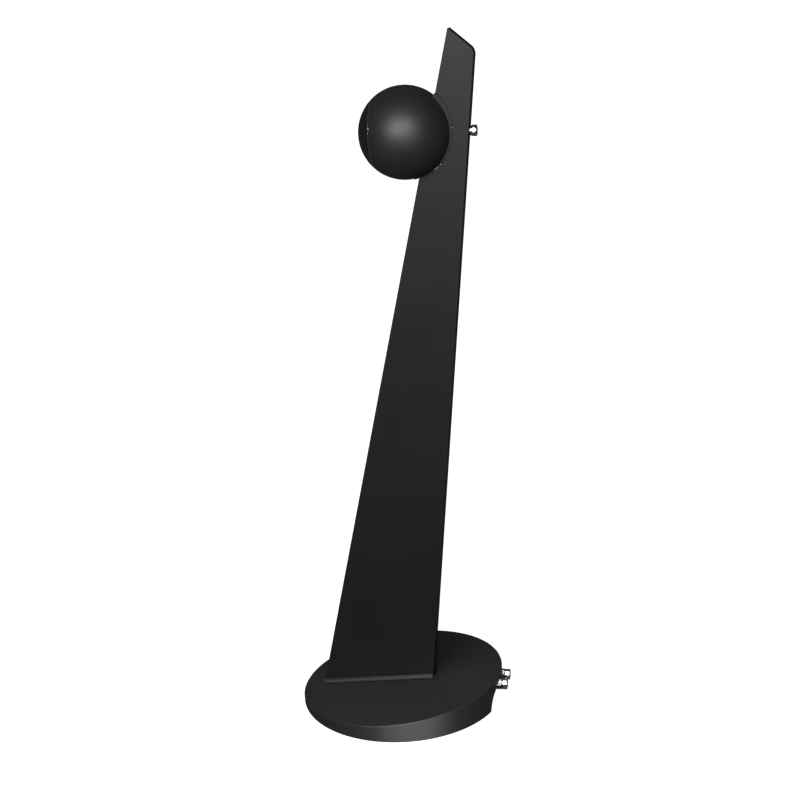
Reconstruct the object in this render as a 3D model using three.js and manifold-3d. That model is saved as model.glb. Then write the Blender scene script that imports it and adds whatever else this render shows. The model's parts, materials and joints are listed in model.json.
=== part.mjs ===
// A small spherical loudspeaker on a tapered blade stand with a sloped round base.
// Millimetres, +Z up. The origin is on the floor under the centre of the base.
// The loudspeaker faces -Y, and the blade stands in the plane X = 0.

import * as THREE from 'three';
import { mergeVertices } from 'three/addons/utils/BufferGeometryUtils.js';
import Module from 'manifold-3d';

const wasm = await Module();
wasm.setup();

// ---------- Driving dimensions ----------

const GAP = 0.3;                    // air between pieces that touch

const base = {
  radius: 152,
  wallBottom: 1.5,                  // the wall stops just above the floor, and the pad stands on it
  topAtCentre: 27.5,
  slope: 0.1072,                    // rise of the top per unit of Y
  rimRound: 1.6,
  skin: 5,                          // thickness of the top over the hollow
  hollowRadius: 130,
  coverRadius: 134,
  coverBottom: 2.5,
  coverTop: 4.5,
  bossRadius: 5,
  bossCircle: 127,
};
const topAt = (y) => base.topAtCentre + base.slope * y;

// The scoop behind the binding posts leans in towards the top, and stops under a lip.
const recess = { y: 138.6, lean: 0.132, radius: 420, lip: 4.6 };

// The countersunk screws of the cover: their radii, and the heights of the head's parts.
const coverScrew = { head: 2.9, shank: 1.5, bottom: 2.7, rim: 3.3, neck: 4.3, end: 10.5 };

const ballast = { y: 10, radius: 86, clearance: 1 };

const pad = { radius: 118, top: 2.2 };               // the foam disc that the stand rests on

const blade = {
  thickness: 20,
  frontFoot: [-117.6, 32.9],        // a point on the front edge, as [y, z]
  frontTop: [115.6, 985.4],         // the sharp tip
  backFoot: [49.2, 33.5],           // a point on the back edge
  backTop: [149.7, 956.2],          // the corner that is rounded off
  cornerRadius: 8,
};

const footPlate = { height: 7, round: 7 };

const ball = { y: 49.4, z: 850.3, radius: 63.5, wall: 3.5 };
const seam = 39.5;                  // distance of the grille seam ahead of the ball's centre

const notch = { y: ball.y - 0.7, z: ball.z + 3.7, radius: 68 };
const liner = { from: -80, to: 49, width: 19.4, depth: 2 };
const stud = { radius: 1.2, length: 5, offset: 8, angles: { upper: 4.8, lower: -42 } };

const thumbScrew = { radius: 3, knobRadius: 7.7, knobLength: 7.2, washer: 1.2, edge: 139.2 };

const post = {
  x: 15,
  z: 30,
  face: 138.5,                      // Y of the bush's flange, just clear of the scoop
  shaft: 2.6,
  socket: 2.05,                     // the bore for a 4 mm plug
  socketDepth: 9,
  bush: 4.6,
  flange: 2.4,
  washer: 1.2,
  grip: 8.1,
  gripLength: 13.7,
  capLength: 7,
};

const boltRows = [-92, -34, 26];    // Y of the bolts that hold the blade
const bolt = { radius: 4, head: 6.5, headHeight: 4.6, reach: 34 };

// The channel runs from the hollow base to the notch, and the lead ends just short of the notch.
const lead = { radius: 1.6, channel: 3, from: [-8, 30], to: [92, 803], end: [90.4, 790.6] };

const RIM = 72;                     // facets round the base's rim
const ROUND = 40;                   // facets round the ball and the hollow of the base
const INNER = 24;                   // facets round what the ball holds inside
const SMALL = 16;                   // facets round small turned pieces

// ---------- Materials ----------

const finish = (color, roughness, metalness) => ({ color, roughness, metalness });
const satinBlack = finish(0x1b1b1c, 0.45, 0.1);
const shellBlack = finish(0x161617, 0.38, 0.1);
const grilleBlack = finish(0x0e0e0f, 0.6, 0.3);
const chrome = finish(0xd8d8da, 0.15, 1);
const darkChrome = finish(0x55555a, 0.2, 1);
const darkPlastic = finish(0x121213, 0.5, 0);
const rubber = finish(0x101010, 0.85, 0);
const steel = finish(0x8b8d90, 0.4, 1);
const brass = finish(0xb08d3c, 0.3, 1);
const iron = finish(0x33353a, 0.7, 0.6);
const ferrite = finish(0x29292c, 0.8, 0.1);
const paper = finish(0x222224, 0.9, 0);
const copper = finish(0xa05a30, 0.35, 1);
const wool = finish(0xcfc9b8, 1, 0);

// ---------- Geometry helpers ----------

// A closed body with shared vertices and its faces pointing out.
function closed(geometry) {
  const bare = geometry.index ? geometry.toNonIndexed() : geometry.clone();
  bare.deleteAttribute('normal');
  bare.deleteAttribute('uv');
  const merged = mergeVertices(bare, 1e-4);
  const p = merged.attributes.position;
  const index = merged.index.array;
  const kept = [];
  let volume = 0;
  const [a, b, c] = [new THREE.Vector3(), new THREE.Vector3(), new THREE.Vector3()];
  for (let i = 0; i < index.length; i += 3) {
    const [i0, i1, i2] = [index[i], index[i + 1], index[i + 2]];
    if (i0 === i1 || i1 === i2 || i2 === i0) continue;
    kept.push(i0, i1, i2);
    a.fromBufferAttribute(p, i0);
    b.fromBufferAttribute(p, i1);
    c.fromBufferAttribute(p, i2);
    volume += a.dot(b.cross(c)) / 6;
  }
  if (volume < 0) {
    for (let i = 0; i < kept.length; i += 3) [kept[i], kept[i + 1]] = [kept[i + 1], kept[i]];
  }
  merged.setIndex(kept);
  return merged;
}

function toSolid(geometry) {
  const g = closed(geometry);
  return new wasm.Manifold(new wasm.Mesh({
    numProp: 3,
    vertProperties: new Float32Array(g.attributes.position.array),
    triVerts: new Uint32Array(g.index.array),
  }));
}

function toGeometry(solid) {
  const mesh = solid.getMesh();
  const g = new THREE.BufferGeometry();
  g.setAttribute('position', new THREE.BufferAttribute(new Float32Array(mesh.vertProperties), 3));
  g.setIndex(Array.from(mesh.triVerts));
  return g;
}

function cut(geometry, ...tools) {
  return toGeometry(tools.reduce((s, t) => s.subtract(toSolid(t)), toSolid(geometry)));
}

function join(geometry, ...others) {
  return toGeometry(others.reduce((s, t) => s.add(toSolid(t)), toSolid(geometry)));
}

// Turned about the vertical, from [radius, z] points.
function turnZ(points, facets = SMALL) {
  const profile = points.map(([r, z]) => new THREE.Vector2(r, z));
  return new THREE.LatheGeometry(profile, facets).rotateX(Math.PI / 2);
}

// Turned about a line along Y, from [radius, y] points.
function turnY(points, facets = SMALL) {
  return new THREE.LatheGeometry(points.map(([r, y]) => new THREE.Vector2(r, y)), facets);
}

const ring = (inner, outer, from, to) => [[inner, from], [outer, from], [outer, to], [inner, to], [inner, from]];
const disc = (radius, from, to) => [[0, from], [radius, from], [radius, to], [0, to]];

// Points on a circle about the axis, from one height to another.
function arcPoints(radius, heightFrom, heightTo, steps) {
  const [a, b] = [Math.asin(heightFrom / radius), Math.asin(heightTo / radius)];
  return Array.from({ length: steps + 1 }, (_, i) => {
    const t = a + (b - a) * i / steps;
    return [radius * Math.cos(t), radius * Math.sin(t)];
  });
}

// An outline in the plane of the blade, given as y and z, made as thick as the width along X.
function plate(shape, width, x = -width / 2) {
  const toBladePlane = new THREE.Matrix4().makeBasis(
    new THREE.Vector3(0, 1, 0), new THREE.Vector3(0, 0, 1), new THREE.Vector3(1, 0, 0));
  return new THREE.ExtrudeGeometry(shape, { depth: width, bevelEnabled: false, curveSegments: 24 })
    .applyMatrix4(toBladePlane)
    .translate(x, 0, 0);
}

// A rod between two points.
function rod(from, to, radius, facets = 12) {
  const start = new THREE.Vector3(...from);
  const along = new THREE.Vector3(...to).sub(start);
  const turn = new THREE.Quaternion().setFromUnitVectors(new THREE.Vector3(0, 1, 0), along.clone().normalize());
  return new THREE.CylinderGeometry(radius, radius, along.length(), facets)
    .translate(0, along.length() / 2, 0)
    .applyQuaternion(turn)
    .translate(start.x, start.y, start.z);
}

// Everything slides up with Y, so that a flat top becomes the sloped one.
const shear = (geometry) => geometry.applyMatrix4(
  new THREE.Matrix4().set(1, 0, 0, 0, 0, 1, 0, 0, 0, base.slope, 1, 0, 0, 0, 0, 1));

const model = new THREE.Group();

function add(group, name, geometry, look, at = [0, 0, 0]) {
  const mesh = new THREE.Mesh(closed(geometry), new THREE.MeshStandardMaterial(look));
  mesh.name = name;
  mesh.position.set(...at);
  group.add(mesh);
  return mesh;
}

// ---------- Base ----------

const FAR = 400;                    // longer than any piece, for cutting tools
const belowFloorLevel = (z) => new THREE.BoxGeometry(FAR, FAR, FAR).translate(0, 0, z - FAR / 2);

// A disc with a flat underside and a top that follows the base's slope.
function wedge(radius, bottom, depthUnderTop, round = 0, y = 0, facets = RIM) {
  const top = base.topAtCentre - depthUnderTop;
  const corner = round
    ? Array.from({ length: 4 }, (_, i) => {
      const t = i / 3 * Math.PI / 2;
      return [radius - round + round * Math.cos(t), top - round + round * Math.sin(t)];
    })
    : [[radius, top]];
  const tall = turnZ([[0, -60], [radius, -60], ...corner, [0, top]], facets).translate(0, y, 0);
  return cut(shear(tall), belowFloorLevel(bottom));
}

const onCircle = (radius, degrees) => [
  radius * Math.cos(degrees * Math.PI / 180), radius * Math.sin(degrees * Math.PI / 180)];
const corners = [45, 135, 225, 315];

function scoop() {
  const lean = new THREE.Matrix4().set(1, 0, 0, 0, 0, 1, -recess.lean, 0, 0, 0, 1, 0, 0, 0, 0, 1);
  return shear(turnZ(disc(recess.radius, -100, base.topAtCentre - recess.lip), 100)
    .translate(0, recess.y + recess.radius, 0)
    .applyMatrix4(lean));
}

function baseBody() {
  let body = wedge(base.radius, base.wallBottom, 0, base.rimRound);
  const bosses = corners.map((a) => {
    const [x, y] = onCircle(base.bossCircle, a);
    return rod([x, y, base.coverTop + GAP], [x, y, topAt(y) - base.skin + 1], base.bossRadius);
  });
  body = cut(body,
    wedge(base.hollowRadius, base.wallBottom - 5, base.skin, 0, 0, ROUND),
    turnZ(disc(base.coverRadius + GAP, -5, base.coverTop + GAP), ROUND),
    scoop());
  body = join(body, ...bosses);
  const screwHoles = corners.map((a) => {
    const [x, y] = onCircle(base.bossCircle, a);
    return rod([x, y, 0], [x, y, coverScrew.end + 1], coverScrew.shank + GAP);
  });
  const boltHoles = boltRows.map((y) => rod([0, y, 0], [0, y, 80], bolt.radius + GAP));
  const postHoles = [-post.x, post.x].map((x) => rod([x, 120, post.z], [x, 160, post.z], post.bush + GAP));
  const leadHole = rod([0, lead.from[0], 0], [0, lead.from[0], 80], lead.channel);
  return cut(body, ...screwHoles, ...boltHoles, ...postHoles, leadHole);
}

function ballastWedge() {
  const solid = wedge(ballast.radius, base.coverTop + 0.5, base.skin + ballast.clearance, 0, ballast.y, ROUND);
  const clear = boltRows.map((y) => rod([0, y, 0], [0, y, 80], bolt.head + 1.5, 16));
  return cut(solid, ...clear, rod([0, lead.from[0], 0], [0, lead.from[0], 80], lead.channel));
}

// A countersunk screw, or with clearance the hole for it.
function coverScrewBody(clearance = 0) {
  const { head, shank, bottom, rim, neck, end } = coverScrew;
  const low = clearance ? bottom - 1 : bottom;
  return turnZ([
    [0, low], [head + clearance, low], [head + clearance, rim + clearance],
    [shank + clearance, neck + clearance], [shank + clearance, end], [0, end],
  ], 12);
}

function baseCover() {
  const holes = corners.map((a) => {
    const [x, y] = onCircle(base.bossCircle, a);
    return coverScrewBody(GAP).translate(x, y, 0);
  });
  return cut(turnZ(disc(base.coverRadius, base.coverBottom, base.coverTop), ROUND), ...holes);
}

add(model, 'base_body', baseBody(), satinBlack);
add(model, 'base_ballast', ballastWedge(), iron);
add(model, 'base_cover', baseCover(), darkPlastic);
corners.forEach((a, i) => {
  const [x, y] = onCircle(base.bossCircle, a);
  add(model, `cover_screw_${i + 1}`, coverScrewBody(), steel, [x, y, 0]);
});
add(model, 'base_pad',
  turnZ([[0, 0], [pad.radius - 0.6, 0], [pad.radius, 0.6], [pad.radius, pad.top], [0, pad.top]], ROUND), rubber);

// ---------- Blade and its foot ----------

const alongEdge = (from, to, z) => from[0] + (to[0] - from[0]) * (z - from[1]) / (to[1] - from[1]);

// Where an edge of the blade meets a line at a height above the sloped top.
function edgeAbove(from, to, height) {
  const lean = (to[0] - from[0]) / (to[1] - from[1]);
  const z = (topAt(from[0] - lean * from[1]) + height) / (1 - base.slope * lean);
  return [alongEdge(from, to, z), z];
}

// The blade's outline, from just above the foot plate to the tip.
function bladeShape() {
  const foot = footPlate.height + 2 * GAP;
  const frontLow = edgeAbove(blade.frontFoot, blade.frontTop, foot);
  const backLow = edgeAbove(blade.backFoot, blade.backTop, foot);
  const corner = new THREE.Vector2(...blade.backTop);
  const towards = (p, distance) => corner.clone().add(
    new THREE.Vector2(...p).sub(corner).setLength(distance));
  const low = towards(blade.backFoot, blade.cornerRadius);
  const high = towards(blade.frontTop, blade.cornerRadius);

  const shape = new THREE.Shape();
  shape.moveTo(...frontLow);
  shape.lineTo(...backLow);
  shape.lineTo(low.x, low.y);
  shape.quadraticCurveTo(corner.x, corner.y, high.x, high.y);
  shape.lineTo(...blade.frontTop);
  shape.closePath();
  return shape;
}

const studAxis = (degrees) => [Math.cos(degrees * Math.PI / 180), Math.sin(degrees * Math.PI / 180)];

function studRod(degrees, side, extra = 0) {
  const [dy, dz] = studAxis(degrees);
  const start = Math.sqrt(ball.radius ** 2 - stud.offset ** 2) + GAP - extra * 4;
  const end = start + stud.length + extra * 5;
  const at = (r) => [side * stud.offset, ball.y + dy * r, ball.z + dz * r];
  return rod(at(start), at(end), stud.radius + extra);
}

const studHoles = () => Object.values(stud.angles).flatMap((a) => [-1, 1].map((s) => studRod(a, s, GAP)));

const screwHole = () => rod([0, ball.y + 40, ball.z], [0, 180, ball.z], thumbScrew.radius + GAP, 12);

function bladeBody() {
  return cut(plate(bladeShape(), blade.thickness),
    rod([-20, notch.y, notch.z], [20, notch.y, notch.z], notch.radius, 72),
    screwHole(),
    rod([0, ...lead.from], [0, ...lead.to], lead.channel),
    ...boltRows.map((y) => rod([0, y, 0], [0, y, topAt(y) + footPlate.height + bolt.reach + 1], bolt.radius + GAP)),
    ...studHoles());
}

// A bar under the blade whose long edges are rounded from its top down to the base.
function footPlateBody() {
  const low = GAP;
  const wide = blade.thickness / 2 + footPlate.round;
  const half = (side) => Array.from({ length: 7 }, (_, i) => {
    const t = i / 6 * Math.PI / 2;
    const x = blade.thickness / 2 + footPlate.round * Math.cos(t);
    return [side * x, low + footPlate.height * Math.sin(t)];
  });
  const section = new THREE.Shape([...half(1), ...half(-1).reverse()].map(([x, z]) => new THREE.Vector2(x, z)));
  const front = edgeAbove(blade.frontFoot, blade.frontTop, footPlate.height)[0];
  const back = edgeAbove(blade.backFoot, blade.backTop, footPlate.height)[0];
  const upright = new THREE.Matrix4().makeBasis(
    new THREE.Vector3(-1, 0, 0), new THREE.Vector3(0, 0, 1), new THREE.Vector3(0, 1, 0));
  const bar = new THREE.ExtrudeGeometry(section, { depth: back - front, bevelEnabled: false })
    .applyMatrix4(upright)
    .translate(0, front, base.topAtCentre);
  return cut(shear(bar),
    ...boltRows.map((y) => rod([0, y, 0], [0, y, 80], bolt.radius + GAP)),
    rod([0, ...lead.from], [0, ...lead.to], lead.channel),
    new THREE.BoxGeometry(FAR, FAR, FAR).translate(0, 0, -FAR));
}

// The soft pad that fills the round notch behind the ball, hollowed to the ball's shape.
function cradleLiner() {
  const inner = ball.radius - liner.depth;
  const radians = (d) => d * Math.PI / 180;
  const outerAt = (a) => {
    const along = (notch.y - ball.y) * Math.cos(a) + (notch.z - ball.z) * Math.sin(a);
    const across = (notch.z - ball.z) * Math.cos(a) - (notch.y - ball.y) * Math.sin(a);
    return along + Math.sqrt((notch.radius - GAP) ** 2 - across ** 2);
  };
  const steps = 24;
  const sweep = (radiusAt) => Array.from({ length: steps + 1 }, (_, i) => {
    const a = radians(liner.from + (liner.to - liner.from) * i / steps);
    return new THREE.Vector2(ball.y + radiusAt(a) * Math.cos(a), ball.z + radiusAt(a) * Math.sin(a));
  });
  const shape = new THREE.Shape([...sweep(outerAt), ...sweep(() => inner).reverse()]);
  const seat = new THREE.SphereGeometry(ball.radius + GAP, 96, 64).translate(0, ball.y, ball.z);
  return cut(plate(shape, liner.width), seat, screwHole(), ...studHoles());
}

add(model, 'foot_plate', footPlateBody(), satinBlack);
add(model, 'blade', bladeBody(), satinBlack);
add(model, 'cradle_liner', cradleLiner(), rubber);
for (const [place, degrees] of Object.entries(stud.angles)) {
  add(model, `cradle_stud_${place}_right`, studRod(degrees, 1), chrome);
  add(model, `cradle_stud_${place}_left`, studRod(degrees, -1), chrome);
}
boltRows.forEach((y, i) => {
  const seat = topAt(y - bolt.head) - base.skin - GAP;
  const end = topAt(y) + footPlate.height + bolt.reach;
  add(model, `blade_bolt_${i + 1}`,
    turnZ([[0, seat - bolt.headHeight], [bolt.head, seat - bolt.headHeight], [bolt.head, seat],
      [bolt.radius, seat], [bolt.radius, end], [0, end]], 16),
    steel, [0, y, 0]);
});
add(model, 'speaker_lead', rod([0, ...lead.from], [0, ...lead.end], lead.radius, 8), darkPlastic);

// ---------- Thumb screw that holds the ball ----------

const knobStart = thumbScrew.edge + thumbScrew.washer + 2 * GAP;
const thumb = new THREE.Group();
thumb.position.set(0, 0, ball.z);
model.add(thumb);
add(thumb, 'thumb_screw_washer',
  turnY(ring(thumbScrew.radius + GAP, thumbScrew.knobRadius - 0.9,
    thumbScrew.edge + GAP, thumbScrew.edge + GAP + thumbScrew.washer), 24), steel);
add(thumb, 'thumb_screw_knob',
  turnY([[thumbScrew.radius + GAP, knobStart + GAP], [thumbScrew.knobRadius - 0.6, knobStart + GAP],
    [thumbScrew.knobRadius, knobStart + 1], [thumbScrew.knobRadius, knobStart + thumbScrew.knobLength - 1],
    [thumbScrew.knobRadius - 1, knobStart + thumbScrew.knobLength],
    [thumbScrew.radius + GAP, knobStart + thumbScrew.knobLength],
    [thumbScrew.radius + GAP, knobStart + GAP]], 32), chrome);
add(thumb, 'thumb_screw_shaft',
  turnY([[0, ball.y + 52], [2.4, ball.y + 52], [thumbScrew.radius, ball.y + 52.8],
    [thumbScrew.radius, knobStart + thumbScrew.knobLength - 0.6], [0, knobStart + thumbScrew.knobLength - 0.6]], 16),
  steel);

// ---------- Binding posts ----------

const postInner = base.hollowRadius - 3;     // Y of the bush's end inside the hollow
const bore = post.shaft + GAP;
const flangeRadius = post.grip - 0.9;

function bindingPost(side, x) {
  const group = new THREE.Group();
  group.position.set(x, 0, post.z);
  model.add(group);
  const flangeEnd = post.face + post.flange;
  const washerAt = flangeEnd + GAP;
  const gripAt = washerAt + post.washer + GAP;
  const capAt = gripAt + post.gripLength;
  const capEnd = capAt + post.capLength;
  const shaftEnd = capEnd - 1;
  const turned = (name, profile, facets, look) => add(group, `${name}_${side}`, turnY(profile, facets), look);

  turned('post_bush', [
    [bore, postInner], [post.bush, postInner], [post.bush, post.face], [flangeRadius, post.face],
    [flangeRadius, flangeEnd], [bore, flangeEnd], [bore, postInner],
  ], SMALL, darkPlastic);
  turned('post_shaft', [
    [0, postInner - 12], [post.shaft, postInner - 12], [post.shaft, shaftEnd], [post.socket, shaftEnd],
    [post.socket, shaftEnd - post.socketDepth], [0, shaftEnd - post.socketDepth],
  ], SMALL, brass);
  turned('post_tag', ring(bore, 5, postInner - 1.5, postInner - GAP), SMALL, brass);
  turned('post_inner_nut', ring(post.shaft + 0.8, 5.2, postInner - 5.4, postInner - 1.8), 6, steel);
  turned('post_washer', ring(bore, flangeRadius - 0.4, washerAt, washerAt + post.washer), SMALL, chrome);
  turned('post_grip', ring(bore, post.grip, gripAt, capAt), 24, darkChrome);
  turned('post_cap', [
    [bore, capAt + GAP], [post.grip, capAt + GAP], [post.grip, capEnd - 1], [post.grip - 1, capEnd],
    [bore, capEnd], [bore, capAt + GAP],
  ], 24, chrome);
}
bindingPost('left', -post.x);
bindingPost('right', post.x);

// ---------- Ball and driver, turned about the line through the ball along Y ----------

const head = new THREE.Group();
head.position.set(0, ball.y, ball.z);
model.add(head);

const insertRadius = 7;
const ledge = { front: -35.8, back: -32.3, inner: 41, bore: 48.1 };
const innerRadius = ball.radius - ball.wall;
const heightOn = (radius, r) => Math.sqrt(radius ** 2 - r ** 2);

const driverScrew = { circle: 43.4, radius: 1.2, head: 2.3, headHeight: 1.1 };
const driverScrews = [45, 135, 225, 315];
const driverHoles = driverScrews.map((a) => {
  const [x, z] = onCircle(driverScrew.circle, a);
  return rod([x, -42, z], [x, -30, z], driverScrew.radius + GAP, 8);
});

add(head, 'ball_shell', cut(turnY([
  ...arcPoints(ball.radius, heightOn(ball.radius, insertRadius), -seam, 14),
  [ledge.bore, -seam], [ledge.bore, ledge.front], [ledge.inner, ledge.front], [ledge.inner, ledge.back],
  ...arcPoints(innerRadius, ledge.back, heightOn(innerRadius, insertRadius), 9),
  [insertRadius, heightOn(ball.radius, insertRadius)],
], ROUND), ...driverHoles), shellBlack);

add(head, 'ball_insert', turnY([
  [thumbScrew.radius + GAP, 50], [insertRadius - GAP, 50], [insertRadius - GAP, 62.6],
  [thumbScrew.radius + GAP, 62.6], [thumbScrew.radius + GAP, 50],
]), brass);

// The grille: a domed sheet that completes the sphere, and a thin ring between it and the shell.
const dome = { wall: 1.2, edge: -seam - 1.6 };
add(head, 'grille_ring', turnY([
  [46.5, -seam + 1.3], [47.7, -seam + 1.3], [47.7, -seam - GAP], [49.3, -seam - GAP], [48.5, -seam - 1.3],
  [46.5, -seam - 1.3], [46.5, -seam + 1.3],
], ROUND), chrome);
add(head, 'grille_dome', turnY([
  ...arcPoints(ball.radius, -ball.radius, dome.edge, 7),
  ...arcPoints(ball.radius - dome.wall, dome.edge, -(ball.radius - dome.wall), 7),
], ROUND), grilleBlack);

// The driver's frame and magnet.
const flange = { front: -37.6, back: ledge.front - GAP, outer: 47.5 };
const basketWindows = [0, 90, 180, 270].map((a) => new THREE.BoxGeometry(18, 12, 22)
  .translate(0, -23.2, 35)
  .rotateY(a * Math.PI / 180));
add(head, 'driver_basket', cut(turnY([
  [38.9, flange.front], [flange.outer, flange.front], [flange.outer, flange.back], [40.6, flange.back],
  [40.6, -30.2], [31.7, -12.2], [31.7, -9.8], [15.2, -9.8], [15.2, -11.8], [29.3, -11.8], [38.2, -30.8],
  [38.9, flange.front],
], INNER), ...driverHoles, ...basketWindows), iron);
driverScrews.forEach((a, i) => {
  const [x, z] = onCircle(driverScrew.circle, a);
  const seat = flange.front - GAP;
  add(head, `driver_screw_${i + 1}`,
    turnY([[0, seat - driverScrew.headHeight], [driverScrew.head, seat - driverScrew.headHeight],
      [driverScrew.head, seat], [driverScrew.radius, seat], [driverScrew.radius, ledge.back - 1],
      [0, ledge.back - 1]], 10), steel, [x, 0, z]);
});
add(head, 'driver_top_plate', turnY(ring(13.4, 30.5, -9.5, -5.5), INNER), steel);
add(head, 'driver_magnet', turnY(ring(17.6, 31.7, -5.2, 4.8), INNER), ferrite);
add(head, 'driver_pole', turnY([[0, -9.5], [10.9, -9.5], [10.9, 5.1], [30.5, 5.1], [30.5, 9.1], [0, 9.1]], INNER), steel);
add(head, 'damping_wad', turnY(disc(36, 13, 46), 24), wool);

// The parts that move with the cone, and its two suspensions.
const cone = { rim: 34.7, neck: 12.4, front: -34.8, back: -22.2, thickness: 0.9 };
add(head, 'cone', turnY([
  [cone.neck, cone.back], [cone.rim, cone.front], [cone.rim, cone.front - cone.thickness],
  [cone.neck - 0.2, cone.back - 1.3], [cone.neck, cone.back],
], INNER), paper);
const cap = { outer: 18.8, inner: 18.1, y: -9.1 };   // a shallow dome, as two spheres about one point
add(head, 'dust_cap', turnY([
  ...arcPoints(cap.outer, -cap.outer, -14.8, 3).map(([r, y]) => [r, y + cap.y]),
  ...arcPoints(cap.inner, -14.4, -cap.inner, 3).map(([r, y]) => [r, y + cap.y]),
], INNER), paper);
add(head, 'voice_coil', turnY(ring(11.7, 12.5, -21.8, -4.6), INNER), copper);

const roll = { inner: cone.rim + GAP, outer: 38.5, height: 2.4, wall: 0.6 };
const rollArc = (thickness, steps) => Array.from({ length: steps + 1 }, (_, i) => {
  const t = i / steps * Math.PI;
  const mid = (roll.inner + roll.outer) / 2;
  const half = (roll.outer - roll.inner) / 2 - thickness;
  return [mid - half * Math.cos(t), cone.front - (roll.height - thickness) * Math.sin(t)];
});
add(head, 'surround', turnY([...rollArc(0, 4), ...rollArc(roll.wall, 4).reverse(), rollArc(0, 4)[0]], INNER), rubber);
add(head, 'spider', turnY([
  [12.9, -16.8], [17.6, -17.8], [22.3, -16], [27, -17.4], [28.7, -16.8], [28.7, -16], [27, -16.6], [22.3, -15.2],
  [17.6, -17], [12.9, -16], [12.9, -16.8],
], INNER), wool);

export default model;
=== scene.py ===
"""A small spherical loudspeaker on a tapered blade stand with a sloped round base.

Blender works in metres, +Z up, with the origin on the floor under the base's centre. The dimensions
below are in millimetres, as in the CAD, and MM turns them into metres. The front faces -Y.
"""

import json
import math

import bmesh
import bpy
import numpy as np
from mathutils import Matrix, Vector
from mathutils.geometry import delaunay_2d_cdt


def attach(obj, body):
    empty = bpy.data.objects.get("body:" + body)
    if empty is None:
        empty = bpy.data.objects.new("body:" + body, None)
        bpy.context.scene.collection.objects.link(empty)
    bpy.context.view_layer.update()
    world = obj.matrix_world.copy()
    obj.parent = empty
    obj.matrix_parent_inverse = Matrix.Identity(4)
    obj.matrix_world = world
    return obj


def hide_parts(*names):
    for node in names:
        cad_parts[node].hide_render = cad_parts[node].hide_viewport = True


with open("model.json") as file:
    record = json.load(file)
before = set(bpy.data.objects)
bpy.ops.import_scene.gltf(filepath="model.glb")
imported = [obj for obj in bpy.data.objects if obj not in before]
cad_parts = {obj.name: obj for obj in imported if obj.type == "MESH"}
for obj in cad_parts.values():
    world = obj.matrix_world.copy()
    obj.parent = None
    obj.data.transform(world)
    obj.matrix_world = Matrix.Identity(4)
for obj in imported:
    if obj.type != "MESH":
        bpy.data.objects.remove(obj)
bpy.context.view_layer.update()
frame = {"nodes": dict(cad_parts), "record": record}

# ---------- Dimensions, in millimetres ----------

MM = 0.001
GAP = 0.3

BASE_RADIUS = 152
BASE_TOP = 27.5            # height of the top at the centre
BASE_SLOPE = 0.1072        # rise of the top per unit of Y
BASE_BOTTOM = 1.5
RIM_ROUND = 1.6
SKIN = 5
HOLLOW_RADIUS = 130
SEAT_RADIUS = 134 + GAP    # the step that the cover sits in
SEAT_TOP = 4.5 + GAP
BOSS = {"circle": 127, "radius": 5, "hole": 1.8, "hole_end": 11.5}
DIAGONALS = (45, 135, 225, 315)    # where four fasteners sit on their circle, in degrees
BASE_SIDES = 288

RECESS = {"y": 138.6, "lean": 0.132, "radius": 420, "lip": 4.6, "half": 90, "step": 3}

BLADE_HALF = 10
FRONT_FOOT, FRONT_TOP = (-117.6, 32.9), (115.6, 985.4)
BACK_FOOT, BACK_TOP = (49.2, 33.5), (149.7, 956.2)
CORNER = 8
FOOT = {"height": 7, "round": 7}
BOLT_ROWS = (-92, -34, 26)
BOLT_HOLE = 4 + GAP
LEAD = {"radius": 3, "start": (-8, 30), "end": (92, 803)}

BALL_Y, BALL_Z, BALL_RADIUS, BALL_WALL = 49.4, 850.3, 63.5, 3.5
SEAM = 39.5                # distance of the grille's seam ahead of the ball's centre
NOTCH_Y, NOTCH_Z, NOTCH_RADIUS = BALL_Y - 0.7, BALL_Z + 3.7, 68
LINER = {"inner": BALL_RADIUS - 2, "start": -80, "end": 49, "half": 9.7}
STUD = {"radius": 1.2, "length": 5, "offset": 8, "angles": {"upper": 4.8, "lower": -42}}

SCREW = {"radius": 3, "knob": 7.7, "length": 7.2, "washer": 1.2, "edge": 139.2, "ridges": 60,
         "ridge_depth": 0.12, "tip": BALL_Y + 52}
POST = {"x": 15, "z": 30, "face": 138.5, "inner": 127, "shaft": 2.6, "bush": 4.6, "flange": 2.4,
        "washer": 1.2, "grip": 8.1, "grip_length": 13.7, "cap_length": 7, "ridges": 32,
        "ridge_depth": 0.22}
WELL_BELOW, WELL_ABOVE = 0, 80     # how far an upright hole's cutter runs, past the base and foot bar


def top_at(y):
    """The height of the base's sloped top at a distance along Y."""
    return BASE_TOP + BASE_SLOPE * y


# ---------- Materials ----------

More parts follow.
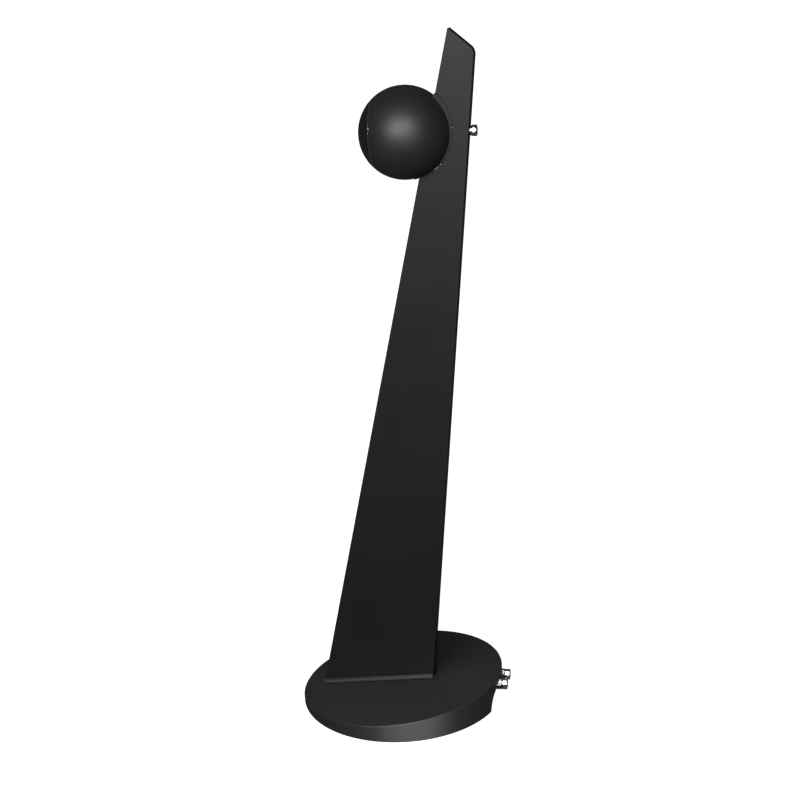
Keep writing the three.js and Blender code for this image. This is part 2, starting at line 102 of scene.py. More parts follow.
class Nodes:
    """A material's node tree, with short calls for the nodes that the finishes share."""

    def __init__(self, name, colour, roughness, metallic=0.0, specular=0.5):
        self.material = bpy.data.materials.new(name)
        self.material.use_nodes = True
        self.tree = self.material.node_tree
        self.shader = self.tree.nodes["Principled BSDF"]
        self.shader.inputs["Base Color"].default_value = (*colour, 1)
        self.shader.inputs["Roughness"].default_value = roughness
        self.shader.inputs["Metallic"].default_value = metallic
        self.shader.inputs["Specular IOR Level"].default_value = specular
        self.place = self.tree.nodes.new("ShaderNodeTexCoord").outputs["Object"]
        self.normal = None

    def link(self, source, target):
        self.tree.links.new(source, target)

    def noise(self, per_metre, detail=2.0, stretch=None):
        place = self.place
        if stretch:
            scaled = self.tree.nodes.new("ShaderNodeMapping")
            scaled.inputs["Scale"].default_value = stretch
            self.link(place, scaled.inputs["Vector"])
            place = scaled.outputs["Vector"]
        node = self.tree.nodes.new("ShaderNodeTexNoise")
        node.inputs["Scale"].default_value = per_metre
        node.inputs["Detail"].default_value = detail
        self.link(place, node.inputs["Vector"])
        return node.outputs["Fac"]

    def cells(self, per_metre):
        node = self.tree.nodes.new("ShaderNodeTexVoronoi")
        node.inputs["Scale"].default_value = per_metre
        self.link(self.place, node.inputs["Vector"])
        return node.outputs["Distance"]

    def rings(self, per_metre, axis="Y"):
        node = self.tree.nodes.new("ShaderNodeTexWave")
        node.wave_type = "BANDS"
        node.bands_direction = axis
        node.inputs["Scale"].default_value = per_metre
        node.inputs["Distortion"].default_value = 0.4
        self.link(self.place, node.inputs["Vector"])
        return node.outputs["Fac"]

    def spread(self, fac, low, high, socket):
        node = self.tree.nodes.new("ShaderNodeMapRange")
        node.inputs["From Min"].default_value = 0.3
        node.inputs["From Max"].default_value = 0.7
        node.inputs["To Min"].default_value = low
        node.inputs["To Max"].default_value = high
        self.link(fac, node.inputs["Value"])
        self.link(node.outputs["Result"], self.shader.inputs[socket])

    def tint(self, fac, first, second):
        node = self.tree.nodes.new("ShaderNodeMix")
        node.data_type = "RGBA"
        node.inputs["A"].default_value = (*first, 1)
        node.inputs["B"].default_value = (*second, 1)
        self.link(fac, node.inputs["Factor"])
        self.link(node.outputs["Result"], self.shader.inputs["Base Color"])

    def bump(self, height, depth, strength=1.0):
        node = self.tree.nodes.new("ShaderNodeBump")
        node.inputs["Distance"].default_value = depth
        node.inputs["Strength"].default_value = strength
        self.link(height, node.inputs["Height"])
        if self.normal:
            self.link(self.normal, node.inputs["Normal"])
        self.normal = node.outputs["Normal"]
        self.link(self.normal, self.shader.inputs["Normal"])


def shade(colour, factor):
    return tuple(c * factor for c in colour)


def powder_coat(name, colour, roughness, specular, peel=0.00002):
    """Satin powder coat: a fine orange peel, with the gloss drifting slightly over the surface."""
    m = Nodes(name, colour, roughness, specular=specular)
    m.tint(m.noise(14, 3), shade(colour, 0.85), shade(colour, 1.15))
    m.spread(m.noise(9, 4), roughness - 0.03, roughness + 0.03, "Roughness")
    m.bump(m.noise(650, 2), peel)
    m.bump(m.noise(2600, 1), peel * 0.4)
    return m.material


def lacquer(name, colour, roughness, specular):
    """Smooth moulded shell under satin lacquer, with only a trace of texture."""
    m = Nodes(name, colour, roughness, specular=specular)
    m.spread(m.noise(30, 3), roughness - 0.025, roughness + 0.025, "Roughness")
    m.tint(m.noise(20, 2), shade(colour, 0.9), shade(colour, 1.1))
    m.bump(m.noise(1500, 2), 0.000006)
    return m.material


def plated(name, colour, roughness, rings=1400, axis="Y"):
    """Turned and plated metal: faint rings from the lathe and a slightly uneven polish."""
    m = Nodes(name, colour, roughness, metallic=1)
    m.spread(m.noise(420, 3), roughness * 0.8, roughness * 1.3, "Roughness")
    m.tint(m.noise(90, 2), shade(colour, 0.94), shade(colour, 1.0))
    m.bump(m.rings(rings, axis), 0.000002, 0.5)
    return m.material


def moulded(name, colour, roughness, depth=0.00003):
    """Moulded plastic or rubber with a fine spark-eroded grain."""
    m = Nodes(name, colour, roughness, specular=0.4)
    m.tint(m.noise(60, 3), shade(colour, 0.8), shade(colour, 1.25))
    m.spread(m.noise(110, 2), roughness - 0.05, roughness + 0.05, "Roughness")
    m.bump(m.cells(1900), depth)
    return m.material


def rough_cast(name, colour, roughness, metallic):
    """Cast or sintered metal: lumpy, with dull and brighter grains."""
    m = Nodes(name, colour, roughness, metallic=metallic)
    m.tint(m.noise(260, 5), shade(colour, 0.6), shade(colour, 1.5))
    m.spread(m.noise(180, 4), roughness - 0.12, min(1.0, roughness + 0.12), "Roughness")
    m.bump(m.noise(500, 4), 0.00012)
    return m.material


def fibrous(name, colour, depth, stretch=(1, 1, 1)):
    """Felted fibre, pressed paper or treated cloth."""
    m = Nodes(name, colour, 0.92, specular=0.2)
    m.shader.inputs["Sheen Weight"].default_value = 0.25
    m.tint(m.noise(900, 6, stretch), shade(colour, 0.65), shade(colour, 1.25))
    m.bump(m.noise(1300, 6, stretch), depth)
    return m.material


def wound(name, colour):
    """Enamelled copper wire wound in close turns."""
    m = Nodes(name, colour, 0.3, metallic=1)
    m.tint(m.noise(200, 3), shade(colour, 0.7), colour)
    m.bump(m.rings(1600), 0.00006)
    return m.material


MATERIALS = {
    "satin_black": powder_coat("satin_black", (0.0105, 0.0105, 0.011), 0.42, 0.4),
    "blade_black": powder_coat("blade_black", (0.0075, 0.0075, 0.008), 0.46, 0.22),
    "ball_black": lacquer("ball_black", (0.009, 0.009, 0.0095), 0.5, 0.5),
    "grille_black": lacquer("grille_black", (0.006, 0.006, 0.0065), 0.45, 0.35),
    "chrome": plated("chrome", (0.78, 0.78, 0.79), 0.12),
    "dark_chrome": plated("dark_chrome", (0.16, 0.16, 0.165), 0.16),
    "dark_plastic": moulded("dark_plastic", (0.01, 0.01, 0.0105), 0.45),
    "rubber": moulded("rubber", (0.012, 0.012, 0.012), 0.8, 0.00008),
    "steel": plated("steel", (0.52, 0.53, 0.54), 0.3, 2200),
    "brass": plated("brass", (0.68, 0.49, 0.2), 0.25, 1800),
    "iron": rough_cast("iron", (0.05, 0.052, 0.056), 0.62, 0.7),
    "ferrite": rough_cast("ferrite", (0.035, 0.035, 0.038), 0.75, 0.1),
    "paper": fibrous("paper", (0.022, 0.022, 0.024), 0.0001),
    "copper": wound("copper", (0.62, 0.29, 0.15)),
    "wool": fibrous("wool", (0.6, 0.55, 0.45), 0.0006, (1, 0.35, 1)),
}


# ---------- Mesh helpers ----------

TINY = 1e-6
NEARLY_STRAIGHT = 2.7      # a corner flatter than this, in radians, needs no fillet
FILLET_SHARE = 0.45        # the share of a side that one corner's fillet may take


def made(name, points, faces, sharp=30):
    """A mesh object from points in millimetres, shaded smooth except at its sharp edges."""
    mesh = bpy.data.meshes.new(name)
    mesh.from_pydata([Vector(p) * MM for p in points], [], faces)
    tidy = bmesh.new()
    tidy.from_mesh(mesh)
    bmesh.ops.remove_doubles(tidy, verts=tidy.verts, dist=1e-7)
    bmesh.ops.recalc_face_normals(tidy, faces=tidy.faces)
    tidy.to_mesh(mesh)
    tidy.free()
    piece = bpy.data.objects.new(name, mesh)
    bpy.context.scene.collection.objects.link(piece)
    smooth(piece, sharp)
    return piece


def smooth(piece, sharp=30):
    """Smooth shading, broken where faces meet at more than the given degrees."""
    piece.data.shade_smooth()
    piece.data.set_sharp_from_angle(angle=math.radians(sharp))


def apply_modifiers(piece):
    """Replaces a piece's mesh by what its modifiers make of it."""
    graph = bpy.context.evaluated_depsgraph_get()
    result = bpy.data.meshes.new_from_object(piece.evaluated_get(graph))
    piece.modifiers.clear()
    old, piece.data = piece.data, result
    result.name = piece.name
    bpy.data.meshes.remove(old)


def boolean(piece, other, operation="DIFFERENCE"):
    """Cuts the other object from the piece or joins it on, and removes the other."""
    step = piece.modifiers.new("boolean", "BOOLEAN")
    step.operation, step.object, step.solver = operation, other, "EXACT"
    step.use_self = True
    apply_modifiers(piece)
    bpy.data.objects.remove(other)
    smooth(piece)


def bevelled(piece, width, segments=3, sharp=35):
    """Rounds the edges that are sharper than the given degrees."""
    step = piece.modifiers.new("bevel", "BEVEL")
    step.width, step.segments = width * MM, segments
    step.limit_method, step.angle_limit = "ANGLE", math.radians(sharp)
    apply_modifiers(piece)
    smooth(piece, 40)


def finished(piece, slot, body, *replaced):
    """Keeps flat faces flat, then gives a piece its material, its body and the CAD nodes it stands for."""
    step = piece.modifiers.new("flat faces stay flat", "WEIGHTED_NORMAL")
    step.keep_sharp = True
    apply_modifiers(piece)
    piece.data.materials.clear()
    piece.data.materials.append(MATERIALS[slot])
    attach(piece, body)
    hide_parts(*replaced)
    return piece


def turned(profile, segments, at=(0, 0, 0), axis="Y", ripple=None):
    """Points and faces of a closed profile of (radius, along) turned about a line.

    ripple, if given, turns (radius, along, angle) into a radius, for knurls and flutes.
    """
    points, faces, rows = [], [], []
    for radius, along in profile:
        row = []
        for i in range(segments if radius > TINY else 1):
            angle = 2 * math.pi * i / segments
            r = ripple(radius, along, angle) if ripple else radius
            a, b = r * math.cos(angle), r * math.sin(angle)
            row.append(len(points))
            points.append((at[0] + a, at[1] + along, at[2] + b) if axis == "Y" else
                          (at[0] + a, at[1] + b, at[2] + along))
        rows.append(row)
    for one, two in zip(rows, rows[1:] + rows[:1]):
        if len(one) == 1 and len(two) == 1:
            continue
        for i in range(segments):
            j = (i + 1) % segments
            if len(one) == 1:
                faces.append((one[0], two[j], two[i]))
            elif len(two) == 1:
                faces.append((one[i], one[j], two[0]))
            else:
                faces.append((one[i], one[j], two[j], two[i]))
    return points, faces


def filleted(profile, radius, steps=4):
    """The closed profile with its corners rounded, apart from corners on the axis."""
    result = []
    count = len(profile)
    for i, corner in enumerate(profile):
        before, here, after = (Vector(profile[(i + k) % count]) for k in (-1, 0, 1))
        back, ahead = before - here, after - here
        too_short = back.length < TINY or ahead.length < TINY
        if here.x < TINY or too_short or back.angle(ahead) > NEARLY_STRAIGHT:
            result.append(tuple(corner))
            continue
        reach = min(radius, back.length * FILLET_SHARE, ahead.length * FILLET_SHARE)
        first, last = here + back.normalized() * reach, here + ahead.normalized() * reach
        for k in range(steps + 1):
            t = k / steps
            point = first * (1 - t) ** 2 + here * 2 * t * (1 - t) + last * t * t
            result.append(tuple(point))
    return result


def arc(radius, start, end, steps):
    """(radius, along) points on a circle round the axis, from one place along it to another."""
    a, b = math.asin(start / radius), math.asin(end / radius)
    angles = [a + (b - a) * i / steps for i in range(steps + 1)]
    return [(radius * math.cos(t), radius * math.sin(t)) for t in angles]


def between_outlines(count):
    """Faces of a solid between two outlines of count points, the second listed after the first."""
    sides = [(i, (i + 1) % count, count + (i + 1) % count, count + i) for i in range(count)]
    return [tuple(range(count)), tuple(range(count, 2 * count))] + sides


def rods(name, places, segments=32):
    """One object of separate rods, each given as (start, end, radius), to cut away or to join on."""
    points, faces = [], []
    for start, end, radius in places:
        start, end = Vector(start), Vector(end)
        turn = (end - start).to_track_quat("Z", "Y")
        first = len(points)
        for centre in (start, end):
            for i in range(segments):
                a = 2 * math.pi * i / segments
                points.append(centre + turn @ Vector((math.cos(a), math.sin(a), 0)) * radius)
        faces += [tuple(first + i for i in face) for face in between_outlines(segments)]
    return made(name, points, faces)


def plate(name, outline, half):
    """An outline of (y, z) points in the blade's plane, made into a flat solid."""
    points = [(x, y, z) for x in (half, -half) for y, z in outline]
    return made(name, points, between_outlines(len(outline)))


def ring(inner, outer, start, end):
    """The closed profile of a plain washer."""
    return [(inner, start), (outer, start), (outer, end), (inner, end)]


# ---------- Base ----------

def base_shell():
    """The round base: flat underneath, hollow, with a top that slopes down to the front."""
    level, sloped = False, True
    edge, cut = 0.8, 0.2
    profile = [(HOLLOW_RADIUS, SEAT_TOP, level), (SEAT_RADIUS, SEAT_TOP, level),
               (SEAT_RADIUS, BASE_BOTTOM, level), (BASE_RADIUS - edge, BASE_BOTTOM, level),
               (BASE_RADIUS - cut, BASE_BOTTOM + cut, level), (BASE_RADIUS, BASE_BOTTOM + edge, level),
               (BASE_RADIUS, -RIM_ROUND - 0.3, sloped)]
    steps = 12
    for i in range(steps + 1):
        t = math.pi / 2 * i / steps
        profile.append((BASE_RADIUS - RIM_ROUND * (1 - math.cos(t)), RIM_ROUND * (math.sin(t) - 1), sloped))
    profile += [(BASE_RADIUS - RIM_ROUND - 0.5, 0, sloped), (BASE_RADIUS * 0.6, 0, sloped), (0, 0, sloped),
                (0, -SKIN, sloped), (HOLLOW_RADIUS - 2, -SKIN, sloped), (HOLLOW_RADIUS, -SKIN - 2, sloped)]
    points, faces = turned([(r, z) for r, z, _ in profile], BASE_SIDES, axis="Z")
    follows = []
    for radius, _, follow in profile:
        follows += [follow] * (BASE_SIDES if radius > TINY else 1)
    points = [(x, y, z + top_at(y) if follow else z) for (x, y, z), follow in zip(points, follows)]
    return made("base_shell", points, faces)


def recess_cutter():
    """The scoop behind the binding posts, which leans in towards the top and stops under a lip."""
    half, radius = RECESS["half"], RECESS["radius"]
    outline = [(x, RECESS["y"] + radius - math.sqrt(radius ** 2 - x * x))
               for x in range(-half, half + 1, RECESS["step"])]
    outside, below = 220, -100
    outline += [(half, outside), (-half, outside)]
    points = []
    for z in (below, BASE_TOP - RECESS["lip"]):
        for x, y in outline:
            leaned = y - RECESS["lean"] * z
            points.append((x, leaned, z + BASE_SLOPE * leaned))
    return made("recess_cutter", points, between_outlines(len(outline)))


def on_boss_circle(degrees):
    a = math.radians(degrees)
    return BOSS["circle"] * math.cos(a), BOSS["circle"] * math.sin(a)


def bolt_holes():
    """Cutters for the bolts that hold the blade and the foot bar to the base."""
    return [((0, y, WELL_BELOW), (0, y, WELL_ABOVE), BOLT_HOLE) for y in BOLT_ROWS]


def make_base():
    shell = base_shell()
    boolean(shell, recess_cutter())
    bevelled(shell, 0.5, 2, 50)
    bosses, holes = [], []
    for degrees in DIAGONALS:
        x, y = on_boss_circle(degrees)
        bosses.append(((x, y, SEAT_TOP), (x, y, top_at(y) - SKIN + 1), BOSS["radius"]))
        holes.append(((x, y, 0), (x, y, BOSS["hole_end"]), BOSS["hole"]))
    boolean(shell, rods("bosses", bosses), "UNION")
    holes += bolt_holes()
    inside, outside = POST["inner"] - 9, POST["inner"] + 33
    holes += [((x, inside, POST["z"]), (x, outside, POST["z"]), POST["bush"] + GAP)
              for x in (-POST["x"], POST["x"])]
    lead_y = LEAD["start"][0]
    holes.append(((0, lead_y, WELL_BELOW), (0, lead_y, WELL_ABOVE), LEAD["radius"]))
    boolean(shell, rods("base_holes", holes))
    finished(shell, "satin_black", "stand", "base_body")


# ---------- Blade, foot plate and cradle ----------

def edge_above(low, high, height):
    """Where an edge of the blade meets a line at a height above the base's sloped top."""
    lean = (high[0] - low[0]) / (high[1] - low[1])
    z = (top_at(low[0] - lean * low[1]) + height) / (1 - BASE_SLOPE * lean)
    return low[0] + lean * (z - low[1]), z


def notch_crossings():
    """Where the front edge meets the notch's circle, lower and then upper, as angles."""
    foot, tip = Vector(FRONT_FOOT), Vector(FRONT_TOP)
    centre = Vector((NOTCH_Y, NOTCH_Z))
    along = (tip - foot).normalized()
    nearest = foot + along * (centre - foot).dot(along)
    reach = math.sqrt(NOTCH_RADIUS ** 2 - (nearest - centre).length_squared)
    low, high = nearest - along * reach - centre, nearest + along * reach - centre
    return math.atan2(low.y, low.x), math.atan2(high.y, high.x)


def blade_outline():
    """The blade's edge as (y, z): two straight sides, a rounded back corner and the notch."""
    foot = FOOT["height"] + 2 * GAP
    corner = Vector(BACK_TOP)
    low = corner + (Vector(BACK_FOOT) - corner).normalized() * CORNER
    high = corner + (Vector(FRONT_TOP) - corner).normalized() * CORNER
    outline = [edge_above(FRONT_FOOT, FRONT_TOP, foot), edge_above(BACK_FOOT, BACK_TOP, foot)]
    corner_steps, notch_steps = 16, 96
    for i in range(corner_steps + 1):
        t = i / corner_steps
        outline.append(tuple(low * (1 - t) ** 2 + corner * 2 * t * (1 - t) + high * t * t))
    outline.append(FRONT_TOP)
    start, end = notch_crossings()
    for i in range(notch_steps + 1):
        a = end + (start - end) * i / notch_steps
        outline.append((NOTCH_Y + NOTCH_RADIUS * math.cos(a), NOTCH_Z + NOTCH_RADIUS * math.sin(a)))
    return outline


def stud_rod(degrees, side, extra=0.0):
    """The start, end and radius of a contact stud, or of its hole where extra is the clearance."""
    dy, dz = math.cos(math.radians(degrees)), math.sin(math.radians(degrees))
    start = math.sqrt(BALL_RADIUS ** 2 - STUD["offset"] ** 2) + GAP - extra * 4
    end = start + STUD["length"] + extra * 5
    x = side * STUD["offset"]
    return ((x, BALL_Y + dy * start, BALL_Z + dz * start), (x, BALL_Y + dy * end, BALL_Z + dz * end),
            STUD["radius"] + extra)


def cradle_holes():
    """Cutters for the studs and for the screw that holds the ball."""
    holes = [stud_rod(a, side, GAP) for a in STUD["angles"].values() for side in (-1, 1)]
    return holes + [((0, BALL_Y + 40, BALL_Z), (0, 180, BALL_Z), SCREW["radius"] + GAP)]


def lead_hole():
    return (0, *LEAD["start"]), (0, *LEAD["end"]), LEAD["radius"]


def make_blade():
    blade = plate("blade_panel", blade_outline(), BLADE_HALF)
    bevelled(blade, 0.4, 3, 25)
    bolts = [((0, y, 0), (0, y, top_at(y) + FOOT["height"] + 35), BOLT_HOLE) for y in BOLT_ROWS]
    boolean(blade, rods("blade_holes", cradle_holes() + bolts + [lead_hole()]))
    finished(blade, "blade_black", "stand", "blade")


def make_foot():
    """The bar under the blade, whose long edges are rounded from its top down to the base."""
    half, steps = [], 14
    for i in range(steps + 1):
        t = math.pi / 2 * i / steps
        half.append((BLADE_HALF + FOOT["round"] * math.cos(t), GAP + FOOT["height"] * math.sin(t)))
    section = half + [(-x, z) for x, z in reversed(half)]
    front = edge_above(FRONT_FOOT, FRONT_TOP, FOOT["height"])[0]
    back = edge_above(BACK_FOOT, BACK_TOP, FOOT["height"])[0]
    points = [(x, y, top_at(y) + z) for y in (front, back) for x, z in section]
    foot = made("foot_bar", points, between_outlines(len(section)))
    bevelled(foot, 0.5, 2, 50)
    boolean(foot, rods("foot_holes", bolt_holes() + [lead_hole()]))
    finished(foot, "blade_black", "stand", "foot_plate")


def make_liner():
    """The pad between the notch and the ball, hollowed to the ball's shape."""
    def outer_at(a):
        dy, dz = NOTCH_Y - BALL_Y, NOTCH_Z - BALL_Z
        along, across = dy * math.cos(a) + dz * math.sin(a), dz * math.cos(a) - dy * math.sin(a)
        return along + math.sqrt((NOTCH_RADIUS - GAP) ** 2 - across ** 2)

    steps = 72
    angles = [math.radians(LINER["start"] + (LINER["end"] - LINER["start"]) * i / steps)
              for i in range(steps + 1)]
    outer = [(BALL_Y + outer_at(a) * math.cos(a), BALL_Z + outer_at(a) * math.sin(a)) for a in angles]
    inner = [(BALL_Y + LINER["inner"] * math.cos(a), BALL_Z + LINER["inner"] * math.sin(a)) for a in angles]
    liner = plate("cradle_pad", outer + inner[::-1], LINER["half"])
    seat = arc(BALL_RADIUS + GAP, -BALL_RADIUS - GAP, BALL_RADIUS + GAP, 144)
    boolean(liner, made("liner_seat", *turned(seat, 288, (0, BALL_Y, BALL_Z))))
    boolean(liner, rods("liner_holes", cradle_holes()))
    finished(liner, "rubber", "stand", "cradle_liner")


def make_studs():
    """Four small pins with domed ends, from the blade to the ball."""
    for place, degrees in STUD["angles"].items():
        for side, word in ((1, "right"), (-1, "left")):
            start, end, radius = stud_rod(degrees, side)
            length = (Vector(end) - Vector(start)).length
            profile = filleted([(0, 0), (radius, 0), (radius, length), (0, length)], 0.5)
            points, faces = turned(profile, 32, axis="Z")
            turn = (Vector(end) - Vector(start)).to_track_quat("Z", "Y")
            points = [Vector(start) + turn @ Vector(p) for p in points]
            pin = made(f"stud_{place}_{word}", points, faces)
            finished(pin, "chrome", "stand", f"cradle_stud_{place}_{word}")


# ---------- Ball ----------

BALL_AT = (0, BALL_Y, BALL_Z)
LEDGE = {"front": -35.8, "back": -32.3, "inner": 41, "bore": 48.1}
INSERT = 7                 # radius of the hole at the back for the threaded insert
SCREW_HOLES = {"circle": 43.4, "radius": 1.5, "front": -42, "back": -30}
BEZEL = {"inner": 46.5, "outer": 47.7, "lip": 49.3, "chamfer": 48.5, "half": 1.3}


def along_at(radius, r):
    """How far along its axis a sphere has come in to a radius r."""
    return math.sqrt(radius ** 2 - r ** 2)


def make_ball():
    inner = BALL_RADIUS - BALL_WALL
    profile = arc(BALL_RADIUS, along_at(BALL_RADIUS, INSERT), -SEAM + 0.25, 84)
    profile += [(along_at(BALL_RADIUS, SEAM) - 0.15, -SEAM), (LEDGE["bore"], -SEAM),
                (LEDGE["bore"], LEDGE["front"]), (LEDGE["inner"], LEDGE["front"]),
                (LEDGE["inner"], LEDGE["back"])]
    profile += arc(inner, LEDGE["back"], along_at(inner, INSERT), 60)
    shell = made("ball_shell_smooth", *turned(profile, 192, BALL_AT))
    holes = []
    for degrees in DIAGONALS:
        a = math.radians(degrees)
        x, z = SCREW_HOLES["circle"] * math.cos(a), BALL_Z + SCREW_HOLES["circle"] * math.sin(a)
        ends = [(x, BALL_Y + SCREW_HOLES[end], z) for end in ("front", "back")]
        holes.append((*ends, SCREW_HOLES["radius"]))
    boolean(shell, rods("shell_holes", holes, 16))
    finished(shell, "ball_black", "ball", "ball_shell")


def make_bezel():
    """The thin rim in the seam between the ball and its grille."""
    back, front, lip = BEZEL["half"] - SEAM, -SEAM - BEZEL["half"], -SEAM - GAP
    profile = filleted([(BEZEL["inner"], back), (BEZEL["outer"], back), (BEZEL["outer"], lip),
                        (BEZEL["lip"], lip), (BEZEL["chamfer"], front), (BEZEL["inner"], front)], 0.25)
    finished(made("grille_bezel", *turned(profile, 192, BALL_AT)), "chrome", "ball", "grille_ring")


GRILLE = {"edge": -SEAM - 1.6, "wall": 1.2, "pitch": 2.5, "hole": 0.85, "band": 2.2, "sides": 12,
          "rim_sides": 192}


def hole_centres(limit):
    """A triangular grid of places for holes, as distances measured over the dome."""
    centres, pitch = [], GRILLE["pitch"]
    rows = int(limit / (pitch * math.sqrt(0.75))) + 1
    for row in range(-rows, rows + 1):
        for column in range(-rows - 1, rows + 2):
            place = Vector(((column + 0.5 * (row % 2)) * pitch, row * pitch * math.sqrt(0.75)))
            if place.length < limit:
                centres.append(place)
    return centres


def circle(centre, radius, sides):
    angles = [2 * math.pi * i / sides for i in range(sides)]
    return [centre + Vector((math.cos(a), math.sin(a))) * radius for a in angles]


def make_grille():
    """The domed grille: a sheet with round holes all over, and a plain band round its edge."""
    reach = BALL_RADIUS * math.acos(-GRILLE["edge"] / BALL_RADIUS)
    sides, rim_sides = GRILLE["sides"], GRILLE["rim_sides"]
    flat = circle(Vector((0, 0)), reach, rim_sides)
    edges = [(i, (i + 1) % rim_sides) for i in range(rim_sides)]
    rings = []
    for centre in hole_centres(reach - GRILLE["band"] - GRILLE["hole"]):
        first = len(flat)
        flat += circle(centre, GRILLE["hole"], sides)
        rings.append(range(first, first + sides))
        edges += [(first + i, first + (i + 1) % sides) for i in range(sides)]
    flat, _, triangles, origin, _, _ = delaunay_2d_cdt(flat, edges, [], 0, 1e-6)
    index = {old: new for new, olds in enumerate(origin) for old in olds}
    rings = [[index[i] for i in one] for one in rings]
    in_hole = {i: n for n, one in enumerate(rings) for i in one}
    kept = [t for t in triangles
            if len({in_hole.get(i, -1 - k) for k, i in enumerate(t)}) > 1]

    def domed(place, radius):
        distance = place.length
        angle = distance / BALL_RADIUS
        way = place / distance if distance > 1e-9 else place
        side = radius * math.sin(angle)
        return (way.x * side, BALL_Y - radius * math.cos(angle), BALL_Z + way.y * side)

    count = len(flat)
    points = [domed(p, r) for r in (BALL_RADIUS, BALL_RADIUS - GRILLE["wall"]) for p in flat]
    faces = [tuple(t) for t in kept] + [tuple(i + count for i in reversed(t)) for t in kept]
    rim = [index[i] for i in range(rim_sides)]
    for one in [rim] + rings:
        faces += [(one[i], one[(i + 1) % len(one)], one[(i + 1) % len(one)] + count, one[i] + count)
                  for i in range(len(one))]
    finished(made("grille_sheet", points, faces, 40), "grille_black", "ball", "grille_dome")


# ---------- Thumb screw and binding posts ----------

def knurl(start, end, ridges, depth, radius):
    """A ripple that cuts straight ridges into the outer face, fading out at both ends."""
    def ripple(r, along, angle):
        if r < radius - 0.3 or not start <= along <= end:
            return r
        fade = min(1.0, (along - start) / 0.5, (end - along) / 0.5)
        return r - depth * fade * (0.5 + 0.5 * math.cos(ridges * angle))
    return ripple


def with_rows(profile, radius, start, end, rows):
    """The profile with extra points along its outer face, for a knurl to shape."""
    result = []
    for point in profile:
        result.append(point)
        if abs(point[0] - radius) < TINY and abs(point[1] - start) < TINY:
            result += [(radius, start + (end - start) * i / rows) for i in range(1, rows)]
    return result


def make_thumb_screw():
    """The washer, the knurled knob and the screw that holds the ball."""
    at = (0, 0, BALL_Z)
    bore = SCREW["radius"] + GAP
    washer_at = SCREW["edge"] + GAP
    washer = filleted(ring(bore, SCREW["knob"] - 0.9, washer_at, washer_at + SCREW["washer"]), 0.25)
    finished(made("screw_washer_disc", *turned(washer, 96, at)), "steel", "screw_washer",
             "thumb_screw_washer")

    start = washer_at + SCREW["washer"] + 2 * GAP
    end = start - GAP + SCREW["length"]
    grip_start, grip_end, radius = start + 1.2, end - 1.4, SCREW["knob"]
    front_edge, back_edge, sunk = 0.3, 0.5, end - 0.5
    cup = 4.6
    profile = [(bore, start), (radius - front_edge, start), (radius, start + front_edge),
               (radius, grip_start), (radius, grip_end), (radius, end - back_edge),
               (radius - back_edge, end), (cup, end), (cup - 0.2, sunk), (bore, sunk)]
    profile = with_rows(profile, radius, grip_start, grip_end, 8)
    ridges = knurl(grip_start, grip_end, SCREW["ridges"], SCREW["ridge_depth"], radius)
    finished(made("screw_knob", *turned(profile, 288, at, ripple=ridges)), "chrome", "thumb_screw",
             "thumb_screw_knob")

    shaft_end, tip, thick = end - 0.6, SCREW["tip"], SCREW["radius"]
    shaft = [(0, tip), (thick - 0.6, tip), (thick, tip + 0.8), (thick, shaft_end - 0.4),
             (thick - 0.4, shaft_end), (0, shaft_end)]
    finished(made("screw_shaft", *turned(shaft, 64, at)), "steel", "thumb_screw", "thumb_screw_shaft")


def make_post(word, x):
    """A binding post: the bush in the base's wall, the washer, the knurled grip and its end cap."""
    at = (x, 0, POST["z"])
    bore, flange = POST["shaft"] + GAP, POST["grip"] - 0.9
    face, inner, grip = POST["face"], POST["inner"], POST["grip"]
    flange_end = face + POST["flange"]
    washer_at = flange_end + GAP
    grip_at = washer_at + POST["washer"] + GAP
    cap_at = grip_at + POST["grip_length"]
    cap_end = cap_at + POST["cap_length"]

    bush = filleted([(bore, inner), (POST["bush"], inner), (POST["bush"], face), (flange, face),
                     (flange, flange_end), (bore, flange_end)], 0.4)
    finished(made(f"post_{word}_bush", *turned(bush, 96, at)), "dark_plastic", "stand", f"post_bush_{word}")

    washer = filleted(ring(bore, flange - 0.4, washer_at, washer_at + POST["washer"]), 0.25)
    finished(made(f"post_{word}_disc", *turned(washer, 96, at)), "chrome", f"post_{word}_washer",
             f"post_washer_{word}")

    start, end, shoulder = grip_at + 0.8, cap_at - 0.8, grip - 0.6
    profile = [(bore, grip_at), (shoulder, grip_at), (grip, start), (grip, end), (shoulder, cap_at),
               (bore, cap_at)]
    profile = with_rows(profile, grip, start, end, 10)
    ridges = knurl(start, end, POST["ridges"], POST["ridge_depth"], grip)
    shape = turned(profile, 256, at, ripple=ridges)
    finished(made(f"post_{word}_grip", *shape), "dark_chrome", f"post_{word}_nut", f"post_grip_{word}")

    cap = filleted([(bore, cap_at + GAP), (grip, cap_at + GAP), (grip, cap_end), (bore, cap_end)], 0.9, 6)
    finished(made(f"post_{word}_end", *turned(cap, 128, at)), "chrome", f"post_{word}_nut",
             f"post_cap_{word}")


# ---------- CAD nodes that keep their shape ----------

def finish_kept_nodes():
    """Puts the materials on the CAD nodes that nothing here replaces."""
    slots = {part["node"]: part["material_slot"] for part in frame["record"]["subparts"]}
    for name, node in frame["nodes"].items():
        if node.hide_render:
            continue
        node.data.materials.clear()
        node.data.materials.append(MATERIALS[slots[name]])


# ---------- Studio ----------

CAMERA_AT = Vector((1.92478, 0.45858, 1.08786))
LENS, SENSOR = 64.8, 36
HEADING, DIP, ROLL = math.radians(12.81), math.radians(17.38), math.radians(-3.362)


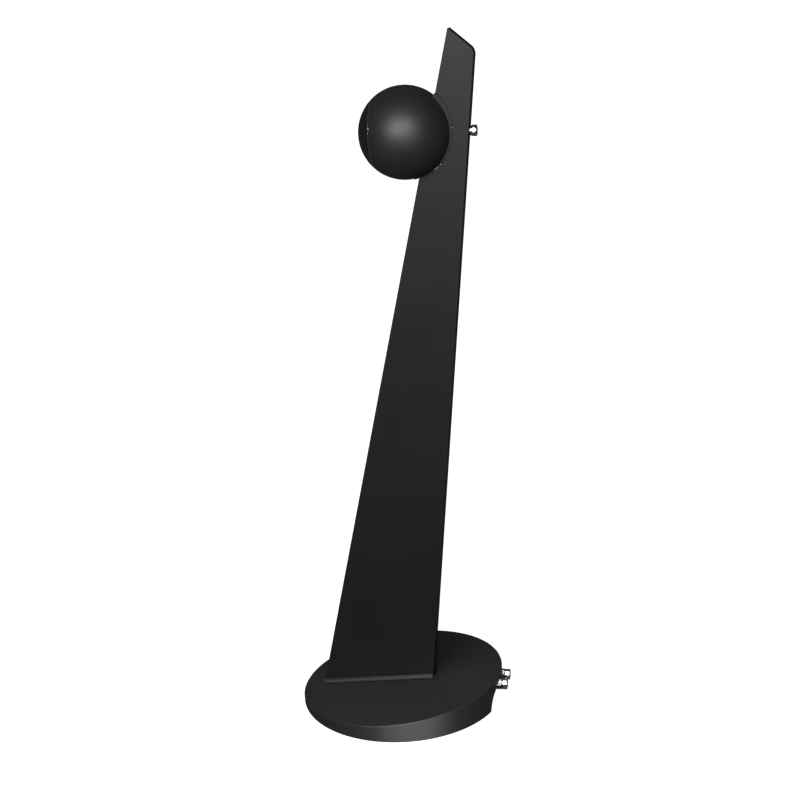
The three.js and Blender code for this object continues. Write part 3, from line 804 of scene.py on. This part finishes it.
def make_camera():
    data = bpy.data.cameras.new("camera")
    data.lens, data.sensor_width = LENS, SENSOR
    camera = bpy.data.objects.new("camera", data)
    bpy.context.scene.collection.objects.link(camera)
    ahead = Vector((-math.cos(DIP) * math.cos(HEADING), -math.cos(DIP) * math.sin(HEADING), -math.sin(DIP)))
    level = ahead.cross(Vector((0, 0, 1))).normalized()
    upright = level.cross(ahead)
    right = level * math.cos(ROLL) + upright * math.sin(ROLL)
    up = upright * math.cos(ROLL) - level * math.sin(ROLL)
    camera.matrix_world = Matrix((right, up, -ahead)).transposed().to_4x4()
    camera.location = CAMERA_AT
    bpy.context.scene.camera = camera


def area_light(name, at, aim, size, watts):
    """A rectangular light that the camera can't see, turned towards a point."""
    data = bpy.data.lights.new(name, "AREA")
    data.shape, data.size, data.size_y, data.energy = "RECTANGLE", size[0], size[1], watts
    light = bpy.data.objects.new(name, data)
    light.location = at
    light.rotation_mode = "QUATERNION"
    light.rotation_quaternion = (Vector(aim) - Vector(at)).to_track_quat("-Z", "Y")
    light.visible_camera = False
    bpy.context.scene.collection.objects.link(light)
    return light


def light_only(light, names):
    """Keeps a light off everything but the named pieces."""
    lit = bpy.data.collections.new("lit_by_" + light.name)
    for name in names:
        lit.objects.link(bpy.data.objects[name])
    light.light_linking.receiver_collection = lit


def backdrop_glow():
    """A pale material that shines a little brighter further out."""
    m = Nodes("pale_floor", (0.86, 0.86, 0.86), 0.9, specular=0.1)
    m.shader.inputs["Emission Color"].default_value = (1, 1, 1, 1)
    distance = m.tree.nodes.new("ShaderNodeVectorMath")
    distance.operation = "LENGTH"
    m.link(m.place, distance.inputs[0])
    glow = m.tree.nodes.new("ShaderNodeMapRange")
    for socket, value in (("From Min", 0.4), ("From Max", 2.5), ("To Min", 0.85), ("To Max", 1.05)):
        glow.inputs[socket].default_value = value
    m.link(distance.outputs["Value"], glow.inputs["Value"])
    m.link(glow.outputs["Result"], m.shader.inputs["Emission Strength"])
    return m.material


def make_backdrop():
    """A pale floor that sweeps up into a wall all round, well outside every view's camera."""
    flat, sweep, wall_top, roof, sides = 5, 2, 9, 11, 96    # metres, apart from the sides
    profile = [(0, 0), (1, 0), (2.5, 0), (flat, 0)]
    profile += [(flat + sweep * math.sin(t), sweep - sweep * math.cos(t))
                for t in np.linspace(0.1, math.pi / 2, 10)]
    profile += [(flat + sweep, wall_top), (0, roof)]
    turns = [2 * math.pi * i / sides for i in range(sides)]
    points = [(radius * math.cos(t), radius * math.sin(t), z) for radius, z in profile for t in turns]
    faces = []
    for row in range(len(profile) - 1):
        for i in range(sides):
            a, b = row * sides + i, row * sides + (i + 1) % sides
            faces.append((a, b, b + sides, a + sides))
    room = made("studio_floor", [Vector(p) / MM for p in points], faces, 180)
    room.data.materials.append(backdrop_glow())
    room.visible_glossy = room.visible_diffuse = room.visible_shadow = False


def make_studio():
    """A dim white world, one large light from the camera's side, and two small ones for the base."""
    world = bpy.data.worlds.new("studio")
    world.use_nodes = True
    background = world.node_tree.nodes["Background"]
    background.inputs["Color"].default_value = (1, 1, 1, 1)
    background.inputs["Strength"].default_value = 0.07
    bpy.context.scene.world = world
    bpy.context.scene.view_settings.view_transform = "Standard"
    area_light("key", at=(2.3, 0.1, 1.6), aim=(0, 0.05, 0.8), size=(2.3, 1.2), watts=105)
    overhead = area_light("low_overhead", at=(0.2, -0.02, 0.7), aim=(0.1, -0.02, 0), size=(0.3, 0.3),
                          watts=3.6)
    bounce = area_light("floor_bounce", at=(0.55, 0.19, -0.13), aim=(0.1, 0.03, 0.02), size=(0.6, 0.3),
                        watts=2.4)
    posts = [f"post_{word}_{part}" for word in ("left", "right")
             for part in ("bush", "disc", "grip", "end")]
    light_only(overhead, ["base_shell", "foot_bar", *posts])
    light_only(bounce, ["base_shell"])


# ---------- Building ----------

make_base()
make_blade()
make_foot()
make_liner()
make_studs()
make_ball()
make_bezel()
make_grille()
make_thumb_screw()
make_post("left", -POST["x"])
make_post("right", POST["x"])
finish_kept_nodes()
make_backdrop()
make_camera()
make_studio()
